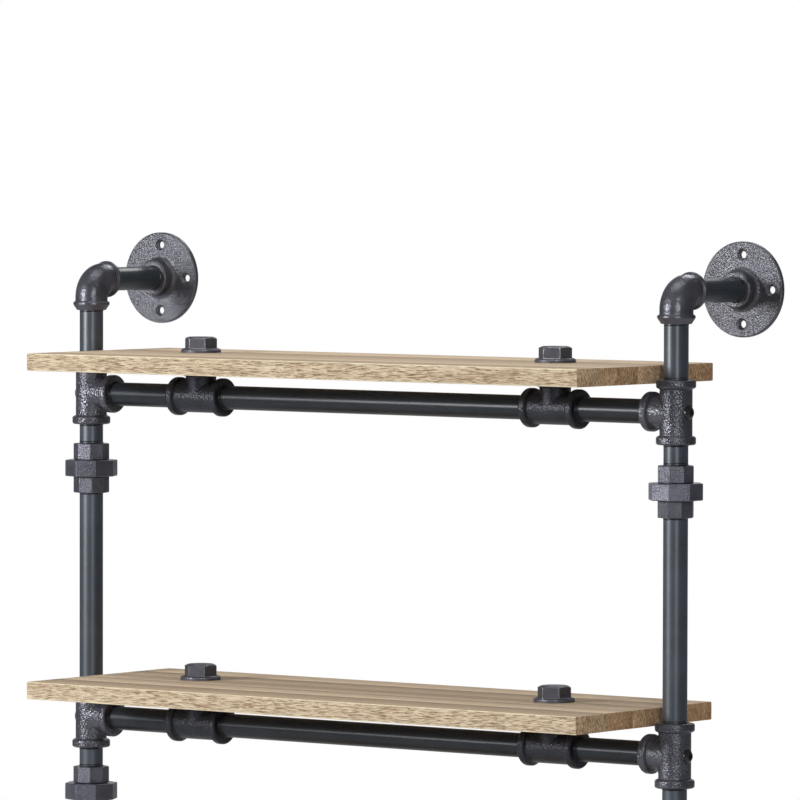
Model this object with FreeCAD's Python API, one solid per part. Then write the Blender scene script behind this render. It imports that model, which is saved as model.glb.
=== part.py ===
# Wall-hung pipe shelving unit: three boards on screwed half-inch pipe and cast fittings.
# Millimetres. The wall is the plane y = 0 and the unit stands in front of it, at y < 0.
# +Z is up, x = 0 is midway between the posts, and z = 0 is the middle tier's pipe axis,
# which is also the centre of the four outermost wall screws.
import FreeCAD, Part
import math
import os

V = FreeCAD.Vector

# Layout: the boards set how far the posts stand apart and how far they stand from the wall
TIER_SPACING = 293.5
ARM_RISE = 103.0
NIPPLE_SHOWING = 17.5
BOARD_END_GAP = 10.35
BOARD_WALL_GAP = 17.0
CROSS_TEE_INSET = 106.0

# Boards
BOARD_LENGTH = 603.0
BOARD_DEPTH = 202.0
BOARD_THICKNESS = 15.6
BOARD_FORWARD = 15.0
BOARD_EDGE_BEVEL = 0.7
BOARD_HOLE_GAP = 0.6

# Pipe and its screwed ends
PIPE_OD = 21.3
PIPE_WALL = 2.75
THREAD_GAP = 0.1
THREAD_ENGAGE = 12.0
MOUTH_CHAMFER = 0.7

# Tees: walls are measured from the socket
TEE_WALL = 3.4
TEE_NECK_WALL = 3.0
TEE_BAND_WALL = 6.45
TEE_BAND_WIDTH = 6.6
TEE_BAND_TAPER = 1.6
TEE_BAND_ROUND = 2.0
TEE_SADDLE_ROUND = 2.0
POST_TEE_HALF_RUN = 27.8
POST_TEE_BRANCH = 28.5
CROSS_TEE_HALF_RUN = 28.5
CROSS_TEE_OUTLET = 24.0
CROSS_TEE_SEAT_WIDTH = 4.2

# Elbows
ELBOW_REACH = 27.5
ELBOW_BEND = 16.0
ELBOW_WALL = 3.85
ELBOW_BAND_WALL = 5.75
ELBOW_BAND_WIDTH = 7.0
ELBOW_BAND_TAPER = 1.2
ELBOW_BAND_ROUND = 0.8
ELBOW_MOUTH_WALL = 2.4
ELBOW_MOUTH_TAPER = 5.1

# Wall flanges
FLANGE_OD = 83.0
FLANGE_THICKNESS = 4.2
FLANGE_RIM_BEVEL = 0.9
FLANGE_HUB_WALL = 5.25
FLANGE_HUB_RISE = 12.0
FLANGE_HUB_BEVEL = 1.2
FLANGE_HUB_FILLET = 4.5
FLANGE_HOLE_CIRCLE = 60.0
FLANGE_HOLE_COUNT = 4
FLANGE_HOLE_D = 6.4
FLANGE_SINK_D = 10.4

# Unions: two octagonal ends, the nut that draws them together, and the gasket between them
UNION_END_LENGTH = 14.7
UNION_END_WALL = 4.25
UNION_NUT_LENGTH = 14.7
UNION_NUT_WALL = 5.4
UNION_SIDES = 8
UNION_CORNER_ROUND = 1.0
UNION_EDGE_BEVEL = 0.6
UNION_GAP = 0.3
UNION_NECK_WALL = 2.65
UNION_COLLAR_RISE = 2.2
UNION_COLLAR_LENGTH = 1.8
UNION_THREAD_RISE = 0.9
UNION_THREAD_LENGTH = 8.4
UNION_GASKET_THICKNESS = 1.7
UNION_GASKET_RIM = 0.4
UNION_GASKET_LIP = 1.6

# Board plugs
PLUG_FLATS = 25.8
PLUG_HEAD_HEIGHT = 10.4
PLUG_HEAD_CHAMFER = 1.6
PLUG_SIDES = 6
PLUG_TURN = 22.0
PLUG_COLLAR_COVER = 6.75
PLUG_COLLAR_HEIGHT = 3.8
PLUG_COLLAR_BEVEL = 1.4
PLUG_ENGAGE = 9.0

# Screws in the sides of the post tees
SCREW_HEAD_OD = 12.5
SCREW_HEAD_HEIGHT = 3.3
SCREW_HEAD_RIM = 1.2
SCREW_HEAD_CROWN_OD = 7.4
SCREW_SHANK_OD = 6.0
SCREW_SHANK_GAP = 0.05
SCREW_SEAT_DEPTH = 1.2
SCREW_SEAT_GAP = 0.25
SCREW_KEY_FLATS = 4.0
SCREW_KEY_DEPTH = 1.8
SCREW_SIDES = 6

# Which way the flats of each union ended up facing when it was tightened, in degrees
UNION_TURNS = {
    "left": {"tail": 36.0, "nut": 4.0, "body": 41.0},
    "right": {"tail": 16.0, "nut": 21.0, "body": 8.0},
}

SIDES = {"left": -1, "right": 1}
TIERS = ("top", "middle", "bottom")
ENDS = {"top": 1, "bottom": -1}
UNION_PLACES = {"upper": "top", "lower": "middle"}

# Worked out from the sizes above
POST_SPACING = BOARD_LENGTH + 2 * BOARD_END_GAP + PIPE_OD
POST_Y = BOARD_FORWARD - BOARD_DEPTH / 2 - BOARD_WALL_GAP
PIPE_R = PIPE_OD / 2
PIPE_BORE_R = PIPE_R - PIPE_WALL
SOCKET_R = PIPE_R + THREAD_GAP
TIER_Z = {name: TIER_SPACING * ((len(TIERS) - 1) / 2 - i) for i, name in enumerate(TIERS)}
ARM_Z = {end: TIER_Z[end] + sign * ARM_RISE for end, sign in ENDS.items()}
CROSS_TEE_X = BOARD_LENGTH / 2 - CROSS_TEE_INSET
TEE_BODY_R = SOCKET_R + TEE_WALL
TEE_NECK_R = SOCKET_R + TEE_NECK_WALL
TEE_BAND_R = SOCKET_R + TEE_BAND_WALL
ELBOW_BODY_R = SOCKET_R + ELBOW_WALL
ELBOW_BAND_R = SOCKET_R + ELBOW_BAND_WALL
UNION_LENGTH = 2 * UNION_END_LENGTH + UNION_NUT_LENGTH + 2 * UNION_GAP
UNION_SEAT = UNION_END_LENGTH + UNION_GAP + UNION_THREAD_LENGTH
UNION_TAIL_FOOT = UNION_SEAT + UNION_GASKET_THICKNESS
UNION_TAIL_HEAD = UNION_END_LENGTH + UNION_NUT_LENGTH + 2 * UNION_GAP
UNION_END_FLATS = 2 * (SOCKET_R + UNION_END_WALL)
UNION_NECK_R = SOCKET_R + UNION_NECK_WALL
UNION_COLLAR_R = UNION_NECK_R + UNION_COLLAR_RISE
UNION_THREAD_R = UNION_COLLAR_R + UNION_THREAD_RISE
UNION_NUT_FLATS = 2 * (UNION_THREAD_R + UNION_GAP + UNION_NUT_WALL)
FLANGE_DEPTH = FLANGE_THICKNESS + FLANGE_HUB_RISE
BOARD_HOLE_R = PIPE_R + BOARD_HOLE_GAP
SCREW_SEAT = TEE_BODY_R - SCREW_SEAT_DEPTH
MATCH = 0.001
OVERCUT = 1.0


def turned(profile):
    """Solid turned about Z from a closed outline of (radius, height) corners."""
    corners = [V(radius, 0, height) for radius, height in profile]
    face = Part.Face(Part.makePolygon(corners + corners[:1]))
    return face.revolve(V(0, 0, 0), V(0, 0, 1), 360)


def rod(radius, low, high):
    """Cylinder about Z between two heights."""
    return Part.makeCylinder(radius, high - low, V(0, 0, low))


def tube(outer_r, inner_r, low, high):
    """Hollow cylinder about Z between two heights."""
    return rod(outer_r, low, high).cut(rod(inner_r, low - OVERCUT, high + OVERCUT))


def prism(sides, flats, low, high, turn=0.0):
    """Upright prism on a regular polygon, given across its flats, with a corner at the turn."""
    corner_r = flats / 2 / math.cos(math.pi / sides)
    angles = [math.radians(turn) + 2 * math.pi * i / sides for i in range(sides + 1)]
    corners = [V(corner_r * math.cos(a), corner_r * math.sin(a), low) for a in angles]
    return Part.Face(Part.makePolygon(corners)).extrude(V(0, 0, high - low))


def rings(shape, radius, height):
    """Circular edges about Z with this radius at this height."""
    found = []
    for edge in shape.Edges:
        if isinstance(edge.Curve, Part.Circle):
            same_radius = abs(edge.Curve.Radius - radius) < MATCH
            same_height = abs(edge.Curve.Center.z - height) < MATCH
            if same_radius and same_height:
                found.append(edge)
    return found


def turned_to(shape, axis, degrees):
    """Copy turned about an axis through the origin."""
    copy = shape.copy()
    copy.rotate(V(0, 0, 0), axis, degrees)
    return copy


def moved(shape, x=0.0, y=0.0, z=0.0):
    """Copy moved by x, y and z."""
    copy = shape.copy()
    copy.translate(V(x, y, z))
    return copy


def along_x(shape):
    """Copy whose +Z points along +X."""
    return turned_to(shape, V(0, 1, 0), 90)


def along_y(shape):
    """Copy whose +Z points along +Y."""
    return turned_to(shape, V(1, 0, 0), -90)


def socket(reach, depth, core_from):
    """Cutter for a screwed socket that opens upwards at reach, with the core below it."""
    mouth = turned([(0, reach - MOUTH_CHAMFER), (SOCKET_R, reach - MOUTH_CHAMFER),
                    (SOCKET_R + MOUTH_CHAMFER, reach), (SOCKET_R + MOUTH_CHAMFER, reach + OVERCUT),
                    (0, reach + OVERCUT)])
    thread = rod(SOCKET_R, reach - depth, reach)
    core = rod(PIPE_BORE_R, core_from, reach)
    return thread.fuse([mouth, core])


def tee_outlet(reach, body_r, band_width):
    """One outlet of a tee about Z, from the tee's centre up to its mouth, with its rounded band."""
    shoulder = reach - band_width
    outlet = turned([(0, 0), (body_r, 0), (body_r, shoulder - TEE_BAND_TAPER), (TEE_BAND_R, shoulder),
                     (TEE_BAND_R, reach), (0, reach)])
    edges = rings(outlet, TEE_BAND_R, reach) + rings(outlet, TEE_BAND_R, shoulder)
    return outlet.makeFillet(TEE_BAND_ROUND, edges)


def tee(half_run, branch, branch_band):
    """Banded tee at the origin, its run along Z and its branch along +X."""
    upper = tee_outlet(half_run, TEE_BODY_R, TEE_BAND_WIDTH)
    lower = turned_to(upper, V(1, 0, 0), 180)
    side = along_x(tee_outlet(branch, TEE_NECK_R, branch_band))
    body = upper.fuse([lower, side]).removeSplitter()
    neck_length = branch - branch_band - TEE_BAND_TAPER - TEE_BODY_R
    saddle = [e for e in body.Edges if isinstance(e.Curve, Part.BSplineCurve)]
    body = body.makeFillet(min(TEE_SADDLE_ROUND, 0.7 * neck_length), saddle)
    run_socket = socket(half_run, THREAD_ENGAGE, 0)
    branch_socket = socket(branch, THREAD_ENGAGE, 0)
    return body.cut([run_socket, turned_to(run_socket, V(1, 0, 0), 180), along_x(branch_socket)])


def post_tee():
    """Post tee with the screw's hole and flat seat opposite its branch."""
    hole = rod(SCREW_SHANK_OD / 2 + SCREW_SHANK_GAP, 0, TEE_BODY_R + OVERCUT)
    seat = rod(SCREW_HEAD_OD / 2 + SCREW_SEAT_GAP, SCREW_SEAT, TEE_BODY_R + OVERCUT)
    cutter = turned_to(hole.fuse(seat), V(0, 1, 0), -90)
    return tee(POST_TEE_HALF_RUN, POST_TEE_BRANCH, TEE_BAND_WIDTH).cut(cutter)


def cross_tee():
    """Cross tee with its run along X and its outlet up, where the narrower band seats the board."""
    return turned_to(tee(CROSS_TEE_HALF_RUN, CROSS_TEE_OUTLET, CROSS_TEE_SEAT_WIDTH), V(0, 1, 0), -90)


def bend(radius):
    """Quarter bend of round section from the -Z leg to the +Y leg of an elbow."""
    start = Part.Face(Part.Wire(Part.makeCircle(radius, V(0, 0, -ELBOW_BEND), V(0, 0, 1))))
    return start.revolve(V(0, ELBOW_BEND, -ELBOW_BEND), V(1, 0, 0), -90)


def elbow_leg():
    """One leg of an elbow about Z: its bead, and the taper from the bead to the mouth."""
    shoulder = ELBOW_REACH - ELBOW_BAND_WIDTH
    edge = ELBOW_REACH - ELBOW_MOUTH_TAPER
    leg = turned([(0, ELBOW_BEND), (ELBOW_BODY_R, ELBOW_BEND), (ELBOW_BODY_R, shoulder - ELBOW_BAND_TAPER),
                  (ELBOW_BAND_R, shoulder), (ELBOW_BAND_R, edge), (SOCKET_R + ELBOW_MOUTH_WALL, ELBOW_REACH),
                  (0, ELBOW_REACH)])
    edges = rings(leg, ELBOW_BAND_R, shoulder) + rings(leg, ELBOW_BAND_R, edge)
    return leg.makeFillet(ELBOW_BAND_ROUND, edges)


def elbow():
    """Banded elbow with its corner at the origin, one leg down and one towards the wall."""
    leg = elbow_leg()
    body = bend(ELBOW_BODY_R).fuse([turned_to(leg, V(1, 0, 0), 180), along_y(leg)])
    end_socket = socket(ELBOW_REACH, THREAD_ENGAGE, 0)
    return body.removeSplitter().cut([turned_to(end_socket, V(1, 0, 0), 180), along_y(end_socket)])


def flange():
    """Wall flange with its back on the wall plane, its centre at the origin and its hub to -Y."""
    rim_r = FLANGE_OD / 2
    hub_r = SOCKET_R + FLANGE_HUB_WALL
    body = turned([(0, 0), (rim_r, 0), (rim_r, FLANGE_THICKNESS - FLANGE_RIM_BEVEL),
                   (rim_r - FLANGE_RIM_BEVEL, FLANGE_THICKNESS), (hub_r, FLANGE_THICKNESS),
                   (hub_r, FLANGE_DEPTH - FLANGE_HUB_BEVEL), (hub_r - FLANGE_HUB_BEVEL, FLANGE_DEPTH),
                   (0, FLANGE_DEPTH)])
    body = body.makeFillet(FLANGE_HUB_FILLET, rings(body, hub_r, FLANGE_THICKNESS))
    hole_r = FLANGE_HOLE_D / 2
    sink_r = FLANGE_SINK_D / 2
    sink_foot = FLANGE_THICKNESS - (sink_r - hole_r)
    hole = turned([(0, -OVERCUT), (hole_r, -OVERCUT), (hole_r, sink_foot), (sink_r, FLANGE_THICKNESS),
                   (sink_r, FLANGE_THICKNESS + OVERCUT), (0, FLANGE_THICKNESS + OVERCUT)])
    hole = moved(hole, x=FLANGE_HOLE_CIRCLE / 2)
    cutters = [turned_to(hole, V(0, 0, 1), 360 * i / FLANGE_HOLE_COUNT) for i in range(FLANGE_HOLE_COUNT)]
    cutters.append(socket(FLANGE_DEPTH, THREAD_ENGAGE, -OVERCUT))
    return turned_to(body.cut(cutters), V(1, 0, 0), 90)


def octagon(flats, low, high, turn):
    """Octagonal block of a union with rounded corners and bevelled ends."""
    block = prism(UNION_SIDES, flats, low, high, turn)
    uprights = [e for e in block.Edges if e.BoundBox.ZLength > MATCH]
    block = block.makeFillet(UNION_CORNER_ROUND, uprights)
    outline = [e for e in block.Edges if e.BoundBox.ZLength < MATCH]
    return block.makeChamfer(UNION_EDGE_BEVEL, outline)


def union_body(turn):
    """Lower end of a union: octagon, screwed socket below and male thread above."""
    block = octagon(UNION_END_FLATS, 0, UNION_END_LENGTH, turn)
    block = block.fuse(rod(UNION_THREAD_R, UNION_END_LENGTH, UNION_SEAT))
    pipe_socket = turned_to(socket(0, THREAD_ENGAGE, -UNION_SEAT - OVERCUT), V(1, 0, 0), 180)
    return block.cut(pipe_socket)


def union_tail(turn):
    """Upper end of a union: octagon, screwed socket above, neck and collar below."""
    block = octagon(UNION_END_FLATS, UNION_TAIL_HEAD, UNION_LENGTH, turn)
    neck = rod(UNION_NECK_R, UNION_TAIL_FOOT, UNION_TAIL_HEAD)
    collar = rod(UNION_COLLAR_R, UNION_TAIL_FOOT, UNION_TAIL_FOOT + UNION_COLLAR_LENGTH)
    return block.fuse([neck, collar]).cut(socket(UNION_LENGTH, THREAD_ENGAGE, UNION_TAIL_FOOT - OVERCUT))


def union_nut(turn):
    """Union nut: octagon with its thread bore below and the lip that draws the collar down."""
    low = UNION_END_LENGTH + UNION_GAP
    high = low + UNION_NUT_LENGTH
    lip = UNION_TAIL_FOOT + UNION_COLLAR_LENGTH + UNION_GAP
    thread = rod(UNION_THREAD_R + UNION_GAP, low - OVERCUT, lip)
    throat = rod(UNION_NECK_R + UNION_GAP, low, high + OVERCUT)
    return octagon(UNION_NUT_FLATS, low, high, turn).cut([thread, throat])


def union_gasket():
    """Flat ring between the two ends of a union."""
    outer_r = UNION_COLLAR_R - UNION_GASKET_RIM
    return tube(outer_r, PIPE_BORE_R + UNION_GASKET_LIP, UNION_SEAT, UNION_TAIL_FOOT)


def plug():
    """Board plug with its collar's underside at the origin: hexagon, collar and screwed shank."""
    top = PLUG_COLLAR_HEIGHT + PLUG_HEAD_HEIGHT
    corner_r = PLUG_FLATS / 2 / math.cos(math.pi / PLUG_SIDES)
    head = prism(PLUG_SIDES, PLUG_FLATS, 0, top, PLUG_TURN)
    envelope = turned([(0, 0), (corner_r, 0), (corner_r, top - PLUG_HEAD_CHAMFER),
                       (PLUG_FLATS / 2 - PLUG_HEAD_CHAMFER, top), (0, top)])
    collar_r = BOARD_HOLE_R + PLUG_COLLAR_COVER
    collar = turned([(0, 0), (collar_r, 0), (collar_r, PLUG_COLLAR_HEIGHT - PLUG_COLLAR_BEVEL),
                     (collar_r - PLUG_COLLAR_BEVEL, PLUG_COLLAR_HEIGHT), (0, PLUG_COLLAR_HEIGHT)])
    shank = rod(PIPE_R, -BOARD_THICKNESS - PLUG_ENGAGE, 0)
    return head.common(envelope).fuse([collar, shank])


def tee_screw():
    """Round-headed socket screw of a post tee, its head's seat facing -X at the origin."""
    head = turned([(0, 0), (SCREW_HEAD_OD / 2, 0), (SCREW_HEAD_OD / 2, SCREW_HEAD_RIM),
                   (SCREW_HEAD_CROWN_OD / 2, SCREW_HEAD_HEIGHT), (0, SCREW_HEAD_HEIGHT)])
    shank = rod(SCREW_SHANK_OD / 2, PIPE_BORE_R - SCREW_SEAT, 0)
    key = prism(SCREW_SIDES, SCREW_KEY_FLATS, SCREW_HEAD_HEIGHT - SCREW_KEY_DEPTH,
                SCREW_HEAD_HEIGHT + OVERCUT)
    return turned_to(head.fuse(shank).cut(key), V(0, 1, 0), -90)


def board():
    """Board with its underside on z = 0 and the cross pipe's axis below y = 0."""
    plank = Part.makeBox(BOARD_LENGTH, BOARD_DEPTH, BOARD_THICKNESS,
                         V(-BOARD_LENGTH / 2, -BOARD_DEPTH / 2 - BOARD_FORWARD, 0))
    plank = plank.makeChamfer(BOARD_EDGE_BEVEL, plank.Edges)
    hole = rod(BOARD_HOLE_R, -OVERCUT, BOARD_THICKNESS + OVERCUT)
    return plank.cut([moved(hole, x=side * CROSS_TEE_X) for side in SIDES.values()])


def pipe(low, high):
    """Upright pipe between two heights, ends included."""
    return tube(PIPE_R, PIPE_BORE_R, low, high)


def union_foot(place):
    """Height of a union's lower end, hung below its tier's post tee."""
    return TIER_Z[UNION_PLACES[place]] - POST_TEE_HALF_RUN - NIPPLE_SHOWING - UNION_LENGTH


def wall_arms(parts):
    """Flanges, wall nipples and elbows at both ends of both posts."""
    flange_shape = flange()
    elbow_shape = elbow()
    nipple = along_y(pipe(POST_Y + ELBOW_REACH - THREAD_ENGAGE, THREAD_ENGAGE - FLANGE_DEPTH))
    nipples = []
    for end, sign in ENDS.items():
        standing = elbow_shape if sign > 0 else turned_to(elbow_shape, V(0, 1, 0), 180)
        for side, hand in SIDES.items():
            x = hand * POST_SPACING / 2
            parts["wall_flange_%s_%s" % (end, side)] = moved(flange_shape, x=x, z=ARM_Z[end])
            parts["elbow_%s_%s" % (end, side)] = moved(standing, x=x, y=POST_Y, z=ARM_Z[end])
            nipples.append(moved(nipple, x=x, z=ARM_Z[end]))
    parts["wall_nipples"] = Part.makeCompound(nipples)


def posts(parts):
    """Post pipes, post tees and their screws."""
    tee_shape = post_tee()
    screw_shape = tee_screw()
    inset = POST_TEE_HALF_RUN - THREAD_ENGAGE
    elbow_inset = ELBOW_REACH - THREAD_ENGAGE
    runs = {
        "upper": (TIER_Z["top"] + inset, ARM_Z["top"] - elbow_inset),
        "long_upper": (TIER_Z["middle"] + inset, union_foot("upper") + THREAD_ENGAGE),
        "long_lower": (TIER_Z["bottom"] + inset, union_foot("lower") + THREAD_ENGAGE),
        "lower": (ARM_Z["bottom"] + elbow_inset, TIER_Z["bottom"] - inset),
    }
    screws = []
    for side, hand in SIDES.items():
        x = hand * POST_SPACING / 2
        facing = 0 if hand < 0 else 180
        for name, (low, high) in runs.items():
            parts["post_pipe_%s_%s" % (name, side)] = moved(pipe(low, high), x=x, y=POST_Y)
        for tier, z in TIER_Z.items():
            turned_tee = turned_to(tee_shape, V(0, 0, 1), facing)
            screw = turned_to(moved(screw_shape, x=-SCREW_SEAT), V(0, 0, 1), facing)
            parts["post_tee_%s_%s" % (tier, side)] = moved(turned_tee, x=x, y=POST_Y, z=z)
            screws.append(moved(screw, x=x, y=POST_Y, z=z))
    parts["tee_screws"] = Part.makeCompound(screws)


def unions(parts):
    """Unions below the top and middle tiers, with the nipples that hang them from the tees."""
    nipples = []
    gaskets = []
    for place, tier in UNION_PLACES.items():
        foot = union_foot(place)
        nipple = pipe(foot + UNION_LENGTH - THREAD_ENGAGE, TIER_Z[tier] - POST_TEE_HALF_RUN + THREAD_ENGAGE)
        for side, hand in SIDES.items():
            x = hand * POST_SPACING / 2
            turns = UNION_TURNS[side]
            pieces = {"tail": union_tail, "nut": union_nut, "body": union_body}
            for piece, make in pieces.items():
                shape = make(turns[piece])
                parts["union_%s_%s_%s" % (piece, place, side)] = moved(shape, x=x, y=POST_Y, z=foot)
            gaskets.append(moved(union_gasket(), x=x, y=POST_Y, z=foot))
            nipples.append(moved(nipple, x=x, y=POST_Y))
    parts["union_nipples"] = Part.makeCompound(nipples)
    parts["union_gaskets"] = Part.makeCompound(gaskets)


def tiers(parts):
    """Cross pipes, cross tees, boards and board plugs of every tier."""
    tee_shape = cross_tee()
    board_shape = board()
    plug_shape = plug()
    outer_end = POST_SPACING / 2 - POST_TEE_BRANCH + THREAD_ENGAGE
    tee_inset = CROSS_TEE_HALF_RUN - THREAD_ENGAGE
    runs = {
        "left": (-outer_end, -CROSS_TEE_X - tee_inset),
        "centre": (-CROSS_TEE_X + tee_inset, CROSS_TEE_X - tee_inset),
        "right": (CROSS_TEE_X + tee_inset, outer_end),
    }
    plugs = []
    for tier, z in TIER_Z.items():
        board_z = z + CROSS_TEE_OUTLET
        for name, (low, high) in runs.items():
            parts["cross_pipe_%s_%s" % (tier, name)] = moved(along_x(pipe(low, high)), y=POST_Y, z=z)
        for side, hand in SIDES.items():
            x = hand * CROSS_TEE_X
            parts["cross_tee_%s_%s" % (tier, side)] = moved(tee_shape, x=x, y=POST_Y, z=z)
            plugs.append(moved(plug_shape, x=x, y=POST_Y, z=board_z + BOARD_THICKNESS))
        parts["board_%s" % tier] = moved(board_shape, y=POST_Y, z=board_z)
    parts["board_plugs"] = Part.makeCompound(plugs)


def main():
    parts = {}
    wall_arms(parts)
    posts(parts)
    unions(parts)
    tiers(parts)
    os.makedirs("parts", exist_ok=True)
    for name, shape in parts.items():
        if not shape.isValid():
            raise ValueError("%s is not a valid solid" % name)
        shape.exportStep("parts/%s.step" % name)
    solids = sum(len(shape.Solids) for shape in parts.values())
    print("%d nodes, %d solids" % (len(parts), solids))


main()
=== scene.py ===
"""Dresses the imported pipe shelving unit: planked boards, pipe threads, finishes, light and camera."""
import math

import bmesh
import bpy
from bpy.props import FloatProperty, FloatVectorProperty, IntProperty, PointerProperty
from mathutils import Matrix, Vector


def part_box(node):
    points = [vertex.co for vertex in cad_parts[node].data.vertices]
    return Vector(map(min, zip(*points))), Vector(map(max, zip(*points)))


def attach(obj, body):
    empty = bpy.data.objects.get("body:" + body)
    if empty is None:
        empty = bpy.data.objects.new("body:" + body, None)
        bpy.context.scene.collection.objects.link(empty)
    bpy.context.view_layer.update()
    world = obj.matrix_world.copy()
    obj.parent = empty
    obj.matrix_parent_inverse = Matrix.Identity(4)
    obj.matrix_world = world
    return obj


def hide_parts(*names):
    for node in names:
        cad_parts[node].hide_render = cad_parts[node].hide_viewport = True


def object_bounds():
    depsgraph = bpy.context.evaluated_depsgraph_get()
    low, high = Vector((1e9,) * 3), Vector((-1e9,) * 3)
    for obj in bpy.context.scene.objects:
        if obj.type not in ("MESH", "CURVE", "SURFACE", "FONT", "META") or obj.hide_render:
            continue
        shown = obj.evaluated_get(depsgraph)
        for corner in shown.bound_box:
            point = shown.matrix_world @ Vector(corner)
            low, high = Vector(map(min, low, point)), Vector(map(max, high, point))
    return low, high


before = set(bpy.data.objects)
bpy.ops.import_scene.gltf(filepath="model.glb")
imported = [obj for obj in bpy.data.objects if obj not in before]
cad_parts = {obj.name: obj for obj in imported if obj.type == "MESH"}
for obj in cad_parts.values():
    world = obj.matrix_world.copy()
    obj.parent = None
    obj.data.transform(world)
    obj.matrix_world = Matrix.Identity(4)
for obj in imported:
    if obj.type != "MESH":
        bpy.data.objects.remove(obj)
CAD_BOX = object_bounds()

bl_info = {
    "name": "Pipe Shelving Unit",
    "version": (1, 0, 0),
    "blender": (4, 5, 0),
    "location": "View3D > Sidebar > Shelf",
    "description": "Planked boards, pipe threads, finishes and a studio for a wall-hung pipe shelving unit",
    "category": "Object",
}

TIERS = ("top", "middle", "bottom")
SIDES = ("left", "right")
BODY = "frame"

# Names that pieces and finishes share
PLANK_TONE = "plank_tone"

# Board details that follow from the joinery
EASE_PARTS = 2
CUTTER_OVERSHOOT = 0.01
HOLE_SIDES = 64
SMOOTH_ANGLE = math.radians(35.0)
PLACE_TOLERANCE = 1e-5

# Thread details
THREAD_STEPS = 64
PROFILE_CORNERS = 3

# The photograph's square frame in pixels, and the sensor that stands for it in millimetres
IMAGE_SIDE = 800
SENSOR_WIDTH = 36.0
WHITE = (1.0, 1.0, 1.0, 1.0)
FLOOR_SIDES = 96

# Axes of a point or of a box corner
X, Y, Z = range(3)

# The lamps as the stage settings name them
LAMPS = ("key", "front", "top", "back")

# How closely a ray has to follow the camera's way to meet the backdrop
BACKDROP_RANGE = (0.92, 0.99)

# Share of the floor's radius at which it starts to fade
FADE_START = 0.5

# Characters of noise: how many finer layers it has and how strong they are
PLAIN = (2.0, 0.5)
GRAINY = (2.0, 0.6)
CLOUDY = (3.0, 0.6)
STREAKY = (4.0, 0.6)
RINGED = (3.0, 0.65)
SMOOTH = (1.0, 0.4)
SPARSE = (1.0, 0.3)

# Darker and paler parts of a coating, as shares of its colour
DARK_SHARE = 0.72
PALE_SHARE = 1.30

# Samples of the node that rounds edges
EDGE_SAMPLES = 6

# Pipe coating: sizes of its marks in metres, where they begin and are full, and how much they do
BLOOM_SIZE = 0.045
BLOOM_RANGE = (0.35, 0.7)
BLOOM_RELIEF = 2.0
PEEL_SIZE = 0.0011
PEEL_MATT = 0.08
SPECK_SIZE = 0.0024
SPECK_RANGE = (0.64, 0.74)
SPECK_COLOR = 0.35
SPECK_MATT = 0.12
SPECK_DULL = 0.3
PIPE_ROUGHNESS = 0.36
PIPE_SPECULAR = 0.6
LACQUER_ROUGHNESS = 0.27
PIPE_RELIEF = 0.00012
PIPE_RELIEF_STRENGTH = 0.25

# Cast skin: sizes of its marks as shares of a dimple, where they begin and are full, and how much they do
DIMPLE_SMOOTHNESS = 0.5
DIMPLE_RELIEF = 0.7
LUMP_SIZE = 1.4
LUMP_RELIEF = 0.8
GRIT_SIZE = 0.28
GRIT_COLOR = 0.5
GRIT_MATT = 0.12
GRIT_RELIEF = 0.22
GRIT_WEAR_RANGE = (0.3, 0.65)
PIT_SIZE = 0.6
PIT_RANGE = (0.66, 0.80)
PIT_COLOR = 0.6
PIT_RELIEF = 0.25
CAST_CLOUD_SIZE = 0.016
CAST_CLOUD_RANGE = (0.5, 1.0)
CAST_EDGE_WIDTH = 0.0007
CAST_EDGE_RANGE = (0.02, 0.16)
CAST_METALLIC = 0.3
CAST_RELIEF_STRENGTH = 1.0

# Plugs: clouds, tool marks and polished edges, whose pale colour is partly a painted highlight
PLUG_CLOUD_SIZE = 0.006
PLUG_CLOUD_RANGE = (0.35, 0.7)
PLUG_CLOUD_MATT = 0.10
TOOL_STRETCH = (1.0, 1.0, 0.25)
TOOL_SIZE = 0.0007
TOOL_MATT = 0.06
PLUG_EDGE_WIDTH = 0.0009
PLUG_EDGE_RANGE = (0.012, 0.10)
PLUG_POLISH_AND_HIGHLIGHT_COLOR = 0.8
PLUG_EDGE_METALLIC = 0.7
PLUG_EDGE_POLISH = 0.34
PLUG_METALLIC = 0.2
PLUG_ROUGHNESS = 0.41
PLUG_SPECULAR = 1.0
PLUG_RELIEF = 0.0003
PLUG_RELIEF_STRENGTH = 0.3

# Tee screws and gaskets: handling marks and mould grain
SCREW_MARK_SIZE = 0.0016
SCREW_MARK_SHARE = 2.2
SCREW_MARK_MATT = 0.14
SCREW_ROUGHNESS = 0.16
SCREW_SPECULAR = 0.5
SCREW_RELIEF_STRENGTH = 0.2
GASKET_GRAIN_SIZE = 0.0008
GASKET_GRAIN_SHARE = 1.8
GASKET_GRAIN_MATT = 0.2
GASKET_ROUGHNESS = 0.7
GASKET_RELIEF_STRENGTH = 0.3
SMALL_RELIEF = 0.0001

# Wood: how far apart the grain of planks of different tone lies, and how square an end or a flat face is
GRAIN_SHIFT = (3.1, 1.7, 2.3)
SIDE_RANGE = (0.5, 0.8)

# Wood: stretch of each mark along the three axes, and its size across the grain in metres
STREAK_STRETCH = (0.03, 1.0, 0.35)
STREAK_SIZE = 0.0022
BAND_STRETCH = (0.015, 1.0, 0.5)
BAND_SIZE = 0.012
PATCH_STRETCH = (0.25, 1.0, 1.0)
PATCH_SIZE = 0.045
FIBRE_STRETCH = (0.03, 1.0, 1.0)
FIBRE_SIZE = 0.0006
FLECK_STRETCH = (0.05, 1.0, 1.0)
FLECK_SIZE = 0.00040
CRACK_STRETCH = (0.02, 1.0, 1.0)
CRACK_TURN = (0.0, math.radians(3.0), 0.0)
CRACK_SIZE = 0.0030
RING_STRETCH = (1.0, 1.0, 0.38)
RING_SIZE = 0.0012

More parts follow.
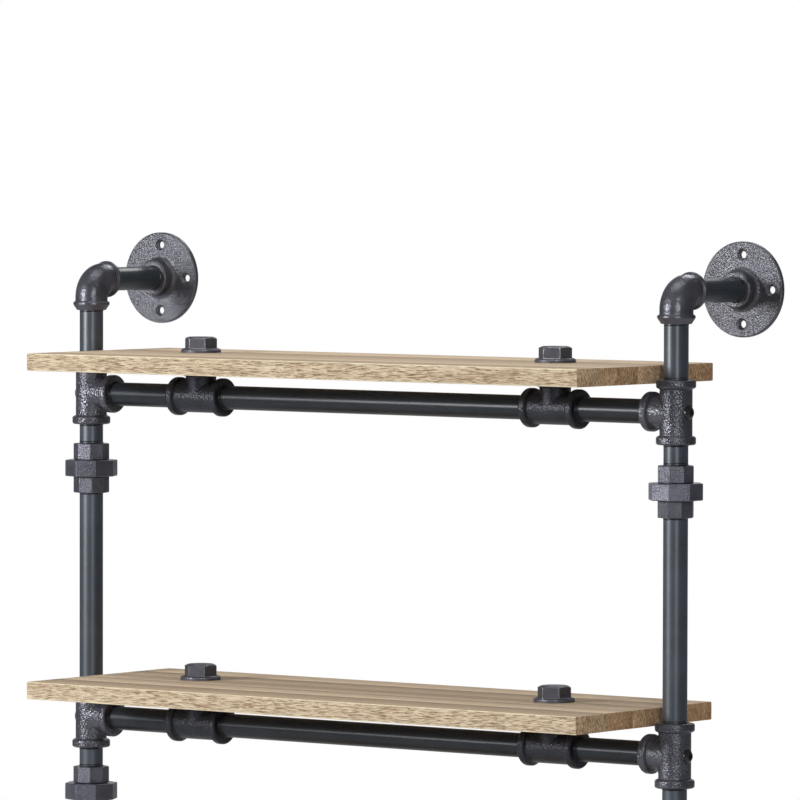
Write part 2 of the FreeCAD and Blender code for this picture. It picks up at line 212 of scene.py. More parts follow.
# Wood: where each mark begins and is full
GRAIN_RANGE = (0.48, 0.92)
PATCH_RANGE = (0.5, 0.75)
FIBRE_RANGE = (0.4, 0.7)
PALE_FLECK_RANGE = (0.36, 0.50)
PORE_RANGE = (0.50, 0.62)
CRACK_RANGE = (0.72, 0.76)
RING_RANGE = (0.42, 0.62)
RUB_AND_HIGHLIGHT_RANGE = (0.15, 0.35)

# Wood: how much each mark does to the colour
STREAK_COLOR = 0.75
BAND_COLOR = 0.5
TONE_COLOR = 0.22
PATCH_COLOR = 0.25
FIBRE_COLOR = 0.5
PLANK_UMBER = 0.80
PLANK_SPREAD = 0.74
SANDED_TONE_AND_SHADE = 0.72
PALE_FLECK_COLOR = 0.6
EDGE_PORES = 0.88
FLAT_PORES = 0.12
CRACK_COLOR = 0.8
RING_COLOR = 0.7
RUB_AND_HIGHLIGHT_COLOR = 0.8

# Wood: how much each mark does to the relief and the gloss
SANDING = 0.65
FIBRE_RELIEF = 0.5
PORE_RELIEF = 1.2
CRACK_RELIEF = 1.5
WOOD_ROUGHNESS = 0.62
SAWN_MATT = 0.15
FIBRE_MATT = 0.08
WOOD_SPECULAR = 0.3
WOOD_RELIEF = 0.0004
WOOD_RELIEF_STRENGTH = 0.5


class BoardSettings(bpy.types.PropertyGroup):
    """Sizes and colours of the planked boards."""
    top_front_plank: FloatProperty(
        name="Top front plank", description="Width of the front plank of the top board",
        default=0.0335, unit="LENGTH")
    middle_front_plank: FloatProperty(
        name="Middle front plank", description="Width of the front plank of the middle board",
        default=0.0445, unit="LENGTH")
    bottom_front_plank: FloatProperty(
        name="Bottom front plank", description="Width of the front plank of the bottom board",
        default=0.039, unit="LENGTH")
    top_rear_planks: IntProperty(
        name="Top rear planks", description="Equal planks behind the front plank of the top board",
        default=3, min=1)
    middle_rear_planks: IntProperty(
        name="Middle rear planks", description="Equal planks behind the front plank of the middle board",
        default=4, min=1)
    bottom_rear_planks: IntProperty(
        name="Bottom rear planks", description="Equal planks behind the front plank of the bottom board",
        default=3, min=1)
    top_tone_step: FloatProperty(
        name="Top tone step", description="Change of tone from one plank of the top board to the next",
        default=0.618)
    middle_tone_step: FloatProperty(
        name="Middle tone step", description="Change of tone from one plank of the middle board to the next",
        default=0.72)
    bottom_tone_step: FloatProperty(
        name="Bottom tone step", description="Change of tone from one plank of the bottom board to the next",
        default=0.37)
    edge_ease: FloatProperty(
        name="Edge ease", description="How far the outer edges are eased", default=0.0007, unit="LENGTH")
    seam_ease: FloatProperty(
        name="Seam ease", description="How far plank edges are eased at a glued seam", default=0.0003,
        unit="LENGTH")
    end_step: FloatProperty(
        name="End step", description="Most that a plank's end stands back from the board's end",
        default=0.0003, unit="LENGTH")
    hole_width: FloatProperty(
        name="Plug hole", description="Width of the holes for the plugs", default=0.0225, unit="LENGTH")
    pale: FloatVectorProperty(
        name="Pale wood", description="Colour of the pale grain", subtype="COLOR",
        default=(0.96, 0.77, 0.56))
    brown: FloatVectorProperty(
        name="Brown wood", description="Colour of the darker grain", subtype="COLOR",
        default=(0.55, 0.39, 0.24))
    # On the top and bottom faces the umber tone is partly painted shade.
    umber: FloatVectorProperty(
        name="Umber wood", description="Colour of the darkest planks on the sanded faces", subtype="COLOR",
        default=(0.34, 0.24, 0.15))
    pore: FloatVectorProperty(
        name="Pores", description="Colour of pores and fine cracks", subtype="COLOR",
        default=(0.16, 0.09, 0.045))
    end_grain: FloatVectorProperty(
        name="End grain", description="Stain that the end grain takes up", subtype="COLOR",
        default=(1.0, 0.91, 0.80))
    red_grain: FloatVectorProperty(
        name="Red end grain", description="Stain that the end grain of redder planks takes up",
        subtype="COLOR", default=(1.0, 0.86, 0.73))
    fleck: FloatProperty(
        name="Fleck", description="How much brighter the pale flecks on the rough edges are", default=1.2)
    sawn: FloatVectorProperty(
        name="Sawn edge", description="Stain that the rough front and back edges take up", subtype="COLOR",
        default=(0.68, 0.67, 0.66))
    vessel: FloatVectorProperty(
        name="Vessels", description="Colour of the fine marks on the rough edges", subtype="COLOR",
        default=(0.25, 0.145, 0.065))


class ThreadSettings(bpy.types.PropertyGroup):
    """Sizes of the thread that shows where a pipe enters a fitting."""
    pipe_width: FloatProperty(
        name="Pipe width", description="Outside width of the pipe", default=0.0213, unit="LENGTH")
    pitch: FloatProperty(
        name="Pitch", description="Distance between two turns of thread", default=0.001814, unit="LENGTH")
    turns: IntProperty(
        name="Turns", description="Turns of thread from inside the fitting to the plain pipe",
        default=2, min=1)
    hidden_turns: FloatProperty(
        name="Hidden turns", description="Turns that sit inside the fitting's mouth", default=0.8)
    height: FloatProperty(
        name="Height", description="Height of the thread over the pipe", default=0.00060, unit="LENGTH")
    sink: FloatProperty(
        name="Sink", description="Depth of the thread's foot inside the pipe", default=0.00030, unit="LENGTH")
    spread: FloatProperty(
        name="Spread", description="How many times wider than sharp the thread's flanks are", default=2.0)
    fade: FloatProperty(
        name="Fade", description="Narrowing from the fitting to the plain pipe", default=-0.050)


class FinishSettings(bpy.types.PropertyGroup):
    """Colours of the metal and rubber."""
    pipe: FloatVectorProperty(
        name="Pipe", description="Satin coating of the pipes", subtype="COLOR", default=(0.033, 0.042, 0.055))
    pipe_dust: FloatVectorProperty(
        name="Pipe bloom", description="Paler bloom on the coating", subtype="COLOR",
        default=(0.050, 0.061, 0.079))
    cast: FloatVectorProperty(
        name="Casting", description="Coating of the cast fittings", subtype="COLOR",
        default=(0.062, 0.063, 0.078))
    cast_edge: FloatVectorProperty(
        name="Casting edge", description="Worn edges of the cast fittings", subtype="COLOR",
        default=(0.20, 0.205, 0.23))
    # The cross tees' darker colour is painted shade from the boards above them, not a different coating.
    cross_tee: FloatVectorProperty(
        name="Cross tee", description="Coating of the cross tees under the boards", subtype="COLOR",
        default=(0.020, 0.022, 0.029))
    union: FloatVectorProperty(
        name="Union", description="Coating of the unions", subtype="COLOR", default=(0.072, 0.074, 0.095))
    flange: FloatVectorProperty(
        name="Flange", description="Coating of the wall flanges", subtype="COLOR",
        default=(0.060, 0.061, 0.072))
    sheen: FloatVectorProperty(
        name="Pipe sheen", description="Tint of the light that the pipes throw back", subtype="COLOR",
        default=(0.84, 0.91, 1.0))
    cast_sheen: FloatVectorProperty(
        name="Casting sheen", description="Tint of the light that the castings throw back", subtype="COLOR",
        default=(0.89, 0.90, 1.0))
    plug: FloatVectorProperty(
        name="Plug", description="Dark coating of the plugs", subtype="COLOR", default=(0.058, 0.059, 0.075))
    # The pale edge colour is partly real polish, partly a painted highlight.
    plug_polish_and_highlight: FloatVectorProperty(
        name="Plug edge", description="Polished edges of the plugs", subtype="COLOR",
        default=(0.75, 0.74, 0.79))
    screw: FloatVectorProperty(
        name="Screw", description="Gloss coating of the tee screws", subtype="COLOR",
        default=(0.010, 0.010, 0.012))
    gasket: FloatVectorProperty(
        name="Gasket", description="Rubber of the union gaskets", subtype="COLOR", default=(0.02, 0.02, 0.02))


class StageSettings(bpy.types.PropertyGroup):
    """Camera, lamps and floor."""
    azimuth: FloatProperty(
        name="Azimuth", description="How far the camera stands to the right of the front",
        default=math.radians(37.0), unit="ROTATION")
    pitch: FloatProperty(
        name="Pitch", description="How far the camera looks down", default=math.radians(2.30),
        unit="ROTATION")
    roll: FloatProperty(
        name="Roll", description="How far the camera leans", default=math.radians(0.13), unit="ROTATION")
    distance: FloatProperty(
        name="Distance", description="Depth from the camera to the top cross pipe", default=6.3779,
        unit="LENGTH")
    focal: FloatProperty(
        name="Focal length", description="Focal length in pixels of the photograph", default=7250.6)
    aim: FloatVectorProperty(
        name="Aim", description="Where the top cross pipe's middle falls in the photograph, in pixels",
        size=2, default=(374.83, 402.47))
    floor_drop: FloatProperty(
        name="Floor drop", description="Height of the lower flanges over the floor", default=0.06,
        unit="LENGTH")
    floor_width: FloatProperty(
        name="Floor width", description="Width of the round floor", default=7.0, unit="LENGTH")
    floor_color: FloatVectorProperty(
        name="Floor", description="Colour of the floor", subtype="COLOR", default=(0.62, 0.62, 0.62))
    floor_glow: FloatProperty(
        name="Floor glow", description="Light added to the floor so that it reads as white", default=0.45)
    floor_share: FloatProperty(
        name="Floor share", description="Share of the floor's glow that reflections show", default=0.35)
    world_level: FloatProperty(
        name="World level", description="Level of the light from all round", default=0.14)
    key_place: FloatVectorProperty(
        name="Key place", description="Where the lamp in front on the left hangs", subtype="TRANSLATION",
        default=(-1.42, -2.70, 0.74))
    key_size: FloatVectorProperty(
        name="Key size", description="Width and height of the lamp in front on the left", size=2,
        unit="LENGTH", default=(1.0, 0.9))
    key_power: FloatProperty(
        name="Key power", description="Power of the lamp in front on the left, in watts", default=73.0)
    front_place: FloatVectorProperty(
        name="Front place", description="Where the lamp beside the camera hangs", subtype="TRANSLATION",
        default=(2.65, -2.45, 1.00))
    front_size: FloatVectorProperty(
        name="Front size", description="Width and height of the lamp beside the camera", size=2,
        unit="LENGTH", default=(0.6, 1.9))
    front_power: FloatProperty(
        name="Front power", description="Power of the lamp beside the camera, in watts", default=38.0)
    top_place: FloatVectorProperty(
        name="Top place", description="Where the lamp overhead hangs", subtype="TRANSLATION",
        default=(0.1, -0.4, 2.3))
    top_size: FloatVectorProperty(
        name="Top size", description="Width and height of the lamp overhead", size=2, unit="LENGTH",
        default=(1.8, 1.2))
    top_power: FloatProperty(
        name="Top power", description="Power of the lamp overhead, in watts", default=16.0)
    back_place: FloatVectorProperty(
        name="Back place", description="Where the high lamp on the wall side hangs", subtype="TRANSLATION",
        default=(-0.6, 2.1, 2.5))
    back_size: FloatVectorProperty(
        name="Back size", description="Width and height of the high lamp on the wall side", size=2,
        unit="LENGTH", default=(1.2, 0.8))
    back_power: FloatProperty(
        name="Back power", description="Power of the high lamp on the wall side, in watts", default=22.0)


class Tone:
    """One value in a finish. Sums on it add Math nodes to the same finish."""

    def __init__(self, tree, socket=None):
        self.tree = tree
        self.socket = socket

    def node(self, kind, settings=None, sockets=None, output=None):
        """Adds a node: first its settings, then its sockets by value or link. Gives one output."""
        made = self.tree.nodes.new(kind)
        for name, value in (settings or {}).items():
            setattr(made, name, value)
        for name, value in (sockets or {}).items():
            socket = next(s for s in made.inputs if name in (s.identifier, s.name))
            if isinstance(value, Tone):
                self.tree.links.new(value.socket, socket)
            else:
                socket.default_value = value
        found = [s for s in made.outputs if output in (None, s.identifier, s.name)]
        return Tone(self.tree, found[0] if found else None)

    def sum(self, operation, first, second):
        return self.node("ShaderNodeMath", {"operation": operation}, {"Value": first, "Value_001": second})

    def __add__(self, other):
        return self.sum("ADD", self, other)

    def __sub__(self, other):
        return self.sum("SUBTRACT", self, other)

    def __rsub__(self, other):
        return self.sum("SUBTRACT", other, self)

    def __mul__(self, other):
        return self.sum("MULTIPLY", self, other)

    def __abs__(self):
        return self.sum("ABSOLUTE", self, 0.0)

    __radd__ = __add__
    __rmul__ = __mul__


def opaque(color):
    """A colour property with full opacity, as a colour socket takes it."""
    return (*color, 1.0)


def shaded(color, share):
    """A share of a colour, with full opacity."""
    return opaque([c * share for c in color])


def mixed(factor, first, second, blend="MIX"):
    """Mixes two colours by a value."""
    return factor.node("ShaderNodeMix", {"data_type": "RGBA", "blend_type": blend}, {
        "Factor_Float": factor, "A_Color": first, "B_Color": second}, "Result_Color")


def stretched(coords, scale, turn=(0.0, 0.0, 0.0)):
    """Turns and stretches coordinates along the three axes."""
    return coords.node("ShaderNodeMapping", {"vector_type": "POINT"}, {
        "Vector": coords, "Scale": scale, "Rotation": turn}, "Vector")


def noise(coords, size, character=PLAIN):
    """Noise whose lumps are about this size in metres."""
    detail, roughness = character
    return coords.node("ShaderNodeTexNoise", {"noise_dimensions": "3D"}, {
        "Vector": coords, "Scale": 1.0 / size, "Detail": detail, "Roughness": roughness}, "Fac")


def rising(value, low, high):
    """A smooth step from 0 to 1."""
    return value.node("ShaderNodeMapRange", {"interpolation_type": "SMOOTHSTEP"}, {
        "Value": value, "From Min": low, "From Max": high}, "Result")


def bumped(height, distance, strength, normal=None):
    """A surface normal raised by a height."""
    sockets = {"Height": height, "Distance": distance, "Strength": strength}
    if normal is not None:
        sockets["Normal"] = normal
    return height.node("ShaderNodeBump", {}, sockets, "Normal")


def new_finish(name):
    """An empty material and the start of its node tree."""
    finish = bpy.data.materials.new(name)
    finish.use_nodes = True
    finish.node_tree.nodes.clear()
    return finish, Tone(finish.node_tree)


def close_finish(start, sockets):
    """Ends a finish with a principled surface."""
    surface = start.node("ShaderNodeBsdfPrincipled", {}, sockets, "BSDF")
    start.node("ShaderNodeOutputMaterial", {}, {"Surface": surface})


def object_place(start):
    """Where a point lies on its piece."""
    return start.node("ShaderNodeTexCoord", {}, {}, "Object")


def edge_mask(start, width, span):
    """A mask of sharp edges, and the normal that rounds them."""
    rounded = start.node("ShaderNodeBevel", {"samples": EDGE_SAMPLES}, {"Radius": width}, "Normal")
    plain = start.node("ShaderNodeNewGeometry", {}, {}, "Normal")
    agree = start.node("ShaderNodeVectorMath", {"operation": "DOT_PRODUCT"}, {
        "Vector": rounded, "Vector_001": plain}, "Value")
    return rising(1.0 - agree, *span), rounded


def seen_share(start, share):
    """1 for the camera, and a share of it for reflections and for light that passes through."""
    camera = start.node("ShaderNodeLightPath", {}, {}, "Is Camera Ray")
    glossy = start.node("ShaderNodeLightPath", {}, {}, "Is Glossy Ray")
    through = start.node("ShaderNodeLightPath", {}, {}, "Is Transmission Ray")
    return rising(camera + (glossy + through) * share, 0.0, 1.0)


def pipe_finish(name, settings, darker=1.0, lacquer=0.6, matt=1.0):
    """Satin black coating with a slate bloom and a fine orange peel."""
    finish, start = new_finish(name)
    place = object_place(start)
    bloom = noise(place, BLOOM_SIZE, CLOUDY)
    peel = noise(place, PEEL_SIZE)
    specks = rising(noise(place, SPECK_SIZE, CLOUDY), *SPECK_RANGE)
    # darker scales the colour and the specular level: the threads use it for their own darker colour, the
    # cross pipes and the arms for painted shade.
    worn = shaded(settings.pipe_dust, darker)
    color = mixed(rising(bloom, *BLOOM_RANGE), shaded(settings.pipe, darker), worn)
    color = mixed(specks * SPECK_COLOR, color, worn)
    close_finish(start, {
        "Base Color": color,
        "Roughness": (PIPE_ROUGHNESS + peel * PEEL_MATT + specks * SPECK_MATT) * matt,
        "Specular IOR Level": PIPE_SPECULAR * darker,
        "Specular Tint": opaque(settings.sheen),
        "Coat Weight": lacquer - specks * SPECK_DULL,
        "Coat Roughness": LACQUER_ROUGHNESS * matt,
        "Normal": bumped(peel + bloom * BLOOM_RELIEF, PIPE_RELIEF, PIPE_RELIEF_STRENGTH),
    })
    return finish


def cast_finish(name, settings, color, dimple=0.0015, depth=0.00048, gloss=0.15, shine=1.0):
    """Coated iron casting: a hammered skin with grit, pits and brighter worn edges."""
    finish, start = new_finish(name)
    place = object_place(start)
    dimples = start.node("ShaderNodeTexVoronoi", {"feature": "SMOOTH_F1"}, {
        "Vector": place, "Scale": 1.0 / dimple, "Smoothness": DIMPLE_SMOOTHNESS}, "Distance")
    lumps = noise(place, dimple * LUMP_SIZE, SMOOTH)
    grit = noise(place, dimple * GRIT_SIZE, GRAINY)
    pits = rising(noise(place, dimple * PIT_SIZE, SMOOTH), *PIT_RANGE)
    cloud = noise(place, CAST_CLOUD_SIZE)
    edges, rounded = edge_mask(start, CAST_EDGE_WIDTH, CAST_EDGE_RANGE)
    dark = shaded(color, DARK_SHARE)
    pale = shaded(color, PALE_SHARE)
    skin = mixed(rising(cloud + grit * GRIT_COLOR, *CAST_CLOUD_RANGE), dark, pale)
    skin = mixed(pits * PIT_COLOR, skin, dark)
    skin = mixed(edges * rising(grit, *GRIT_WEAR_RANGE), skin, opaque(settings.cast_edge))
    height = dimples * DIMPLE_RELIEF + lumps * LUMP_RELIEF + grit * GRIT_RELIEF - pits * PIT_RELIEF
    close_finish(start, {
        "Base Color": skin,
        "Metallic": CAST_METALLIC,
        "Roughness": gloss + grit * GRIT_MATT,
        "Specular IOR Level": shine,
        "Specular Tint": opaque(settings.cast_sheen),
        "Normal": bumped(height, depth, CAST_RELIEF_STRENGTH, rounded),
    })
    return finish


def plug_finish(name, settings):
    """Dark coated steel with polished edges, whose pale colour is partly a painted highlight, and fine tool
    marks.
    """
    finish, start = new_finish(name)
    place = object_place(start)
    cloud = noise(place, PLUG_CLOUD_SIZE, CLOUDY)
    marks = noise(stretched(place, TOOL_STRETCH), TOOL_SIZE, GRAINY)
    edges, rounded = edge_mask(start, PLUG_EDGE_WIDTH, PLUG_EDGE_RANGE)
    dark = shaded(settings.plug, DARK_SHARE)
    skin = mixed(rising(cloud, *PLUG_CLOUD_RANGE), dark, opaque(settings.plug))
    # Pale edge colour: partly real polished steel, partly a painted highlight.
    skin = mixed(edges * PLUG_POLISH_AND_HIGHLIGHT_COLOR, skin, opaque(settings.plug_polish_and_highlight))
    matt = PLUG_ROUGHNESS + cloud * PLUG_CLOUD_MATT + marks * TOOL_MATT
    close_finish(start, {
        "Base Color": skin,
        "Metallic": PLUG_METALLIC + edges * PLUG_EDGE_METALLIC,
        "Roughness": matt - edges * PLUG_EDGE_POLISH,
        "Specular IOR Level": PLUG_SPECULAR,
        "Specular Tint": opaque(settings.cast_sheen),
        "Normal": bumped(marks + cloud, PLUG_RELIEF, PLUG_RELIEF_STRENGTH, rounded),
    })
    return finish


def screw_finish(name, settings):
    """Gloss black with faint handling marks."""
    finish, start = new_finish(name)
    marks = noise(object_place(start), SCREW_MARK_SIZE, CLOUDY)
    close_finish(start, {
        "Base Color": mixed(marks, opaque(settings.screw), shaded(settings.screw, SCREW_MARK_SHARE)),
        "Roughness": SCREW_ROUGHNESS + marks * SCREW_MARK_MATT,
        "Specular IOR Level": SCREW_SPECULAR,
        "Normal": bumped(marks, SMALL_RELIEF, SCREW_RELIEF_STRENGTH),
    })
    return finish


def gasket_finish(name, settings):
    """Matt black rubber with a fine mould grain."""
    finish, start = new_finish(name)
    grain = noise(object_place(start), GASKET_GRAIN_SIZE)
    close_finish(start, {
        "Base Color": mixed(grain, opaque(settings.gasket), shaded(settings.gasket, GASKET_GRAIN_SHARE)),
        "Roughness": GASKET_ROUGHNESS + grain * GASKET_GRAIN_MATT,
        "Normal": bumped(grain, SMALL_RELIEF, GASKET_RELIEF_STRENGTH),
    })
    return finish


def wood_finish(name, settings):
    """Glued planks: sanded faces that differ in tone and carry painted shade, stained ends, and rough edges
    with rubbed corners that are partly a painted highlight.
    """
    finish, start = new_finish(name)
    tone = start.node("ShaderNodeAttribute", {"attribute_name": PLANK_TONE}, {}, "Fac")
    steps = {axis: tone * step for axis, step in zip("XYZ", GRAIN_SHIFT)}
    shift = start.node("ShaderNodeCombineXYZ", {}, steps, "Vector")
    grown = start.node("ShaderNodeVectorMath", {"operation": "ADD"}, {
        "Vector": object_place(start), "Vector_001": shift}, "Vector")
    facing = start.node("ShaderNodeNewGeometry", {}, {}, "Normal")
    across = start.node("ShaderNodeSeparateXYZ", {}, {"Vector": facing}, "X")
    upward = start.node("ShaderNodeSeparateXYZ", {}, {"Vector": facing}, "Z")
    ends = rising(abs(across), *SIDE_RANGE)
    flat = rising(abs(upward), *SIDE_RANGE)
    edge = (1.0 - ends) * (1.0 - flat)
    streaks = noise(stretched(grown, STREAK_STRETCH), STREAK_SIZE, STREAKY)
    bands = noise(stretched(grown, BAND_STRETCH), BAND_SIZE)
    patches = noise(stretched(grown, PATCH_STRETCH), PATCH_SIZE)
    fibres = noise(stretched(grown, FIBRE_STRETCH), FIBRE_SIZE, GRAINY)
    flecks = noise(stretched(grown, FLECK_STRETCH), FLECK_SIZE, GRAINY)
    pores = rising(flecks, *PORE_RANGE)
    cracks = rising(noise(stretched(grown, CRACK_STRETCH, CRACK_TURN), CRACK_SIZE, SPARSE), *CRACK_RANGE)
    rings = noise(stretched(grown, RING_STRETCH), RING_SIZE, RINGED)
    grain = rising(streaks * STREAK_COLOR + bands * BAND_COLOR + tone * TONE_COLOR, *GRAIN_RANGE)
    pale = opaque(settings.pale)
    brown = opaque(settings.brown)
    bright = opaque([min(1.0, c * settings.fleck) for c in settings.pale])
    color = mixed(grain, pale, brown)
    color = mixed(rising(patches, *PATCH_RANGE) * PATCH_COLOR, color, brown)
    color = mixed(rising(fibres, *FIBRE_RANGE) * FIBRE_COLOR, color, brown)
    # Top and bottom faces take an even plank tone, darker than the edges: partly real sanded stain and plank
    # tone, partly painted shade.
    sanded_tone_and_shade = mixed(PLANK_UMBER - tone * PLANK_SPREAD, pale, opaque(settings.umber))
    color = mixed(flat * SANDED_TONE_AND_SHADE, color, sanded_tone_and_shade)
    color = mixed((1.0 - rising(flecks, *PALE_FLECK_RANGE)) * edge * PALE_FLECK_COLOR, color, bright)
    color = mixed(pores * (edge * EDGE_PORES + flat * FLAT_PORES), color, opaque(settings.vessel))
    color = mixed(rising(rings, *RING_RANGE) * ends * RING_COLOR, color, opaque(settings.pore))
    color = mixed(cracks * (1.0 - flat) * CRACK_COLOR, color, opaque(settings.pore))
    stain = mixed(tone, opaque(settings.end_grain), opaque(settings.red_grain))
    color = mixed(ends, color, stain, "MULTIPLY")
    color = mixed(edge, color, opaque(settings.sawn), "MULTIPLY")
    # Paler line on the eased corners of the top and bottom: partly real rubbed stain, partly a painted
    # highlight.
    color = mixed(rising(abs(upward), *RUB_AND_HIGHLIGHT_RANGE) * edge * RUB_AND_HIGHLIGHT_COLOR, color, bright)
    rough = 1.0 - flat * SANDING
    height = (streaks + fibres * FIBRE_RELIEF - pores * PORE_RELIEF - cracks * CRACK_RELIEF) * rough
    close_finish(start, {
        "Base Color": color,
        "Roughness": WOOD_ROUGHNESS + rough * SAWN_MATT + fibres * FIBRE_MATT,
        "Specular IOR Level": WOOD_SPECULAR,
        "Normal": bumped(height, WOOD_RELIEF, WOOD_RELIEF_STRENGTH),
    })
    return finish


def floor_finish(name, settings):
    """Pale floor that keeps the shadow and fades into the white backdrop at its rim."""
    finish, start = new_finish(name)
    seen = seen_share(start, settings.floor_share)
    matt = start.node("ShaderNodeBsdfDiffuse", {}, {"Color": opaque(settings.floor_color)}, "BSDF")
    glow = start.node("ShaderNodeEmission", {}, {"Strength": settings.floor_glow}, "Emission")
    lit = start.node("ShaderNodeAddShader", {}, {"Shader": matt, "Shader_001": glow}, "Shader")
    pale = start.node("ShaderNodeMixShader", {}, {"Fac": seen, "Shader": matt, "Shader_001": lit}, "Shader")
    reach = start.node("ShaderNodeVectorMath", {"operation": "LENGTH"}, {
        "Vector": object_place(start)}, "Value")
    radius = settings.floor_width / 2
    rim = rising(reach, radius * FADE_START, radius)
    clear = start.node("ShaderNodeBsdfTransparent", {}, {}, "BSDF")
    surface = start.node("ShaderNodeMixShader", {}, {
        "Fac": rim, "Shader": pale, "Shader_001": clear}, "Shader")
    start.node("ShaderNodeOutputMaterial", {}, {"Surface": surface})
    return finish


def white_world(settings):
    """A white backdrop, seen by the camera and in reflections, and a plain level of light all round."""
    world = bpy.data.worlds.new("studio_air")
    world.use_nodes = True
    world.node_tree.nodes.clear()
    start = Tone(world.node_tree)
    way = start.node("ShaderNodeTexCoord", {}, {}, "Generated")
    ahead = (-math.sin(settings.azimuth), math.cos(settings.azimuth), 0.0)
    near = start.node("ShaderNodeVectorMath", {"operation": "DOT_PRODUCT"}, {
        "Vector": way, "Vector_001": ahead}, "Value")
    seen = seen_share(start, rising(near, *BACKDROP_RANGE))
    dim = start.node("ShaderNodeBackground", {}, {
        "Color": WHITE, "Strength": settings.world_level}, "Background")
    white = start.node("ShaderNodeBackground", {}, {"Color": WHITE, "Strength": 1.0}, "Background")
    air = start.node("ShaderNodeMixShader", {}, {"Fac": seen, "Shader": dim, "Shader_001": white}, "Shader")
    start.node("ShaderNodeOutputWorld", {}, {"Surface": air})
    bpy.context.scene.world = world


def coat(finish, *names):
    """Gives CAD nodes a finish."""
    for name in names:
        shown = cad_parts[name]
        shown.data.materials.clear()
        shown.data.materials.append(finish)


def middle_of(name):
    """The middle of a CAD node's box."""
    low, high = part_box(name)
    return (low + high) / 2


def nodes_like(*starts):
    """The CAD nodes whose names start in one of these ways."""
    return [n for n in sorted(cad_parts) if n.startswith(starts)]


def deselect():
    """Leaves edit mode and deselects everything."""
    if bpy.context.mode != "OBJECT":
        bpy.ops.object.mode_set(mode="OBJECT")
    bpy.ops.object.select_all(action="DESELECT")


def select_only(shown):
    """Selects one object and makes it active."""
    deselect()
    shown.select_set(True)
    bpy.context.view_layer.objects.active = shown


def settle():
    """Puts the active object's place, turn and scale into its mesh."""
    bpy.ops.object.transform_apply(location=True, rotation=True, scale=True)


def pick_edges(mesh, test):
    """Selects the edges whose two ends pass a test, in edit mode."""
    shape = bmesh.from_edit_mesh(mesh)
    for edge in shape.edges:
        edge.select_set(False)
    for edge in shape.edges:
        if test(edge.verts[0].co, edge.verts[1].co):
            edge.select_set(True)
    shape.select_flush_mode()
    bmesh.update_edit_mesh(mesh)


def add_plank(low, high, tone, seams, settings):
    """Models one plank with its edges eased, and marks it with its tone."""
    deselect()
    bpy.ops.mesh.primitive_cube_add(size=1.0, location=(low + high) / 2, scale=high - low)
    plank = bpy.context.object
    settle()

    def at_seam(a, b):
        return any(abs(a.y - y) < PLACE_TOLERANCE and abs(b.y - y) < PLACE_TOLERANCE for y in seams)

    def at_outside(a, b):
        along = abs(a.x - b.x) > PLACE_TOLERANCE
        outer = not any(abs(a.y - y) < settings.edge_ease for y in seams)
        across = abs(a.y - b.y) > settings.edge_ease
        return across or (along and outer)

    bpy.ops.object.mode_set(mode="EDIT")
    bpy.ops.mesh.select_mode(type="EDGE")
    pick_edges(plank.data, at_seam)
    bpy.ops.mesh.bevel(offset=settings.seam_ease, segments=EASE_PARTS, affect="EDGES")
    pick_edges(plank.data, at_outside)
    bpy.ops.mesh.bevel(offset=settings.edge_ease, segments=EASE_PARTS, affect="EDGES")
    bpy.ops.object.mode_set(mode="OBJECT")
    marks = plank.data.attributes.new(PLANK_TONE, "FLOAT", "POINT")
    marks.data.foreach_set("value", [tone] * len(plank.data.vertices))
    return plank


def bore_plank(plank, low, high, middle, settings):
    """Bores a plank for a plug."""
    deselect()
    bpy.ops.mesh.primitive_cylinder_add(
        vertices=HOLE_SIDES, radius=settings.hole_width / 2, depth=high.z - low.z + CUTTER_OVERSHOOT,
        location=(middle.x, middle.y, (low.z + high.z) / 2))
    cutter = bpy.context.object
    select_only(plank)
    bore = plank.modifiers.new("plug_hole", "BOOLEAN")
    bore.operation = "DIFFERENCE"
    bore.object = cutter
    bpy.ops.object.modifier_apply(modifier=bore.name)
    bpy.data.objects.remove(cutter)


class SHELF_OT_boards(bpy.types.Operator):
    """Models the three boards from glued planks"""
    bl_idname = "shelf.boards"
    bl_label = "Boards"

    def execute(self, context):
        settings = context.scene.shelf_boards
        finish = wood_finish("board_wood", settings)
        for tier in TIERS:
            self.model_board(context, settings, finish, tier)
        return {"FINISHED"}

    def model_board(self, context, settings, finish, tier):
        low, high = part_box("board_" + tier)
        middles = [middle_of("cross_tee_%s_%s" % (tier, side)) for side in SIDES]
        front = getattr(settings, tier + "_front_plank")
        rear_count = getattr(settings, tier + "_rear_planks")
        tone_step = getattr(settings, tier + "_tone_step")
        rear = (high.y - low.y - front) / rear_count
        seams = [low.y + front + rear * i for i in range(rear_count)]
        lines = [low.y, *seams, high.y]
        planks = []
        for i in range(rear_count + 1):
            tone = i * tone_step % 1.0
            back = settings.end_step * tone if i else 0.0
            corner = Vector((low.x + back, lines[i], low.z))
            far = Vector((high.x - back, lines[i + 1], high.z))
            plank = add_plank(corner, far, tone, seams, settings)
            for middle in middles:
                if corner.y < middle.y < far.y:
                    bore_plank(plank, corner, far, middle, settings)
            planks.append(plank)
        deselect()
        for plank in planks:
            plank.select_set(True)
        context.view_layer.objects.active = planks[0]
        bpy.ops.object.join()
        bpy.ops.object.shade_smooth_by_angle(angle=SMOOTH_ANGLE)
        board = context.object
        board.name = "planked_board_" + tier
        board.data.name = board.name
        board.data.materials.clear()
        board.data.materials.append(finish)
        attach(board, BODY)
        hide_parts("board_" + tier)


